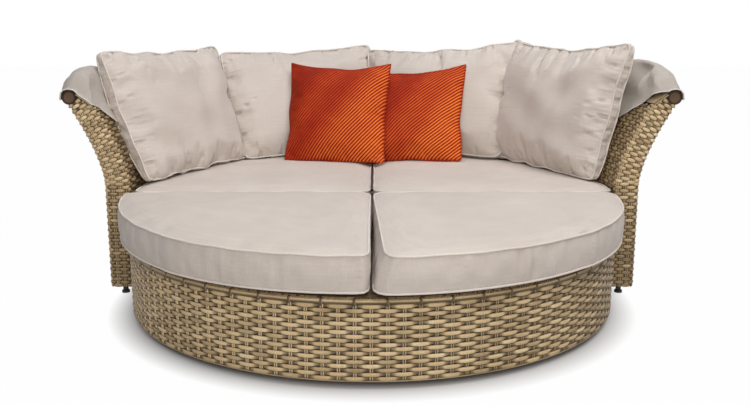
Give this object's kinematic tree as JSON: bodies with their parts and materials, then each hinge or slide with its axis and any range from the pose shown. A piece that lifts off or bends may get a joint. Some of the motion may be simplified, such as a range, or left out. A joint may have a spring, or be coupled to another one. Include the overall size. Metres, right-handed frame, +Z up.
{
  "type": "outdoor daybed with canopy",
  "caption": "Round wicker daybed: a curved sofa with a flared back and a folded-down canopy, a pull-away half-moon ottoman, greige cushions and orange scatter cushions.",
  "frame": {"origin": "on the floor at the middle of the whole footprint", "axes": "+X across the width, to the right as seen from the front, +Y to the back, +Z up"},
  "size_m": [2.2018, 1.983, 0.884],
  "materials": {
    "wicker": "satin",
    "rim_cap": "satin",
    "frame_tube": "matte",
    "glide": "matte",
    "seat_fabric": "matte",
    "scatter_velvet": "matte",
    "canopy_fabric": "matte",
    "bow_tube": "satin",
    "pivot_steel": "satin"
  },
  "bodies": {
    "sofa": {"sofa_frame": "frame_tube", "back_inner_weave": "wicker", "back_outer_weave": "wicker", "arm_end_weave_left": "wicker", "arm_end_weave_right": "wicker", "back_rim_weave": "wicker", "rim_end_cap_left": "rim_cap", "rim_end_cap_right": "rim_cap", "sofa_deck": "wicker", "sofa_front_apron": "wicker", "sofa_foot_1": "glide", "sofa_foot_2": "glide", "sofa_foot_3": "glide", "sofa_foot_4": "glide", "sofa_foot_5": "glide", "rear_seat_cushion_left": "seat_fabric", "rear_seat_cushion_right": "seat_fabric", "back_cushion_side_left": "seat_fabric", "back_cushion_middle_left": "seat_fabric", "back_cushion_middle_right": "seat_fabric", "back_cushion_side_right": "seat_fabric", "scatter_cushion_left": "scatter_velvet", "scatter_cushion_right": "scatter_velvet", "canopy_bracket_left": "pivot_steel", "canopy_bracket_right": "pivot_steel", "canopy_pivot_bolt_left": "pivot_steel", "canopy_pivot_bolt_right": "pivot_steel", "canopy_pivot_nut_left": "pivot_steel", "canopy_pivot_nut_right": "pivot_steel", "canopy_inner_spacer_left": "pivot_steel", "canopy_inner_spacer_right": "pivot_steel", "canopy_outer_spacer_left": "pivot_steel", "canopy_outer_spacer_right": "pivot_steel", "canopy_cloth": "canopy_fabric"},
    "ottoman": {"ottoman_frame": "frame_tube", "ottoman_skirt_weave": "wicker", "ottoman_back_weave": "wicker", "ottoman_deck": "wicker", "ottoman_foot_1": "glide", "ottoman_foot_2": "glide", "ottoman_foot_3": "glide", "ottoman_foot_4": "glide", "ottoman_foot_5": "glide", "front_seat_cushion_left": "seat_fabric", "front_seat_cushion_right": "seat_fabric"},
    "canopy_rear": {"canopy_bow_rear": "bow_tube"},
    "canopy_middle": {"canopy_bow_middle": "bow_tube"},
    "canopy_front": {"canopy_bow_front": "bow_tube"}
  },
  "joints": [
    {"name": "ottoman_pull", "type": "slide", "parent": "sofa", "child": "ottoman", "axis": [0, -1, 0], "range_m": [0, 0.6]},
    {"name": "canopy_rear_bow_hinge", "type": "hinge", "parent": "sofa", "child": "canopy_rear", "pos_m": [0, -0.05504, 0.7733], "axis": [1, 0, 0], "range_deg": [0, 33], "deforming": ["canopy_cloth"]},
    {"name": "canopy_middle_bow_hinge", "type": "hinge", "parent": "canopy_rear", "child": "canopy_middle", "pos_m": [0, -0.05504, 0.7733], "axis": [1, 0, 0], "range_deg": [0, 33]},
    {"name": "canopy_front_bow_hinge", "type": "hinge", "parent": "canopy_middle", "child": "canopy_front", "pos_m": [0, -0.05504, 0.7733], "axis": [1, 0, 0], "range_deg": [0, 33]}
  ],
  "couplings": [
    {"joint": "canopy_middle_bow_hinge", "follows": "canopy_rear_bow_hinge", "ratio": 1},
    {"joint": "canopy_front_bow_hinge", "follows": "canopy_rear_bow_hinge", "ratio": 1}
  ]
}
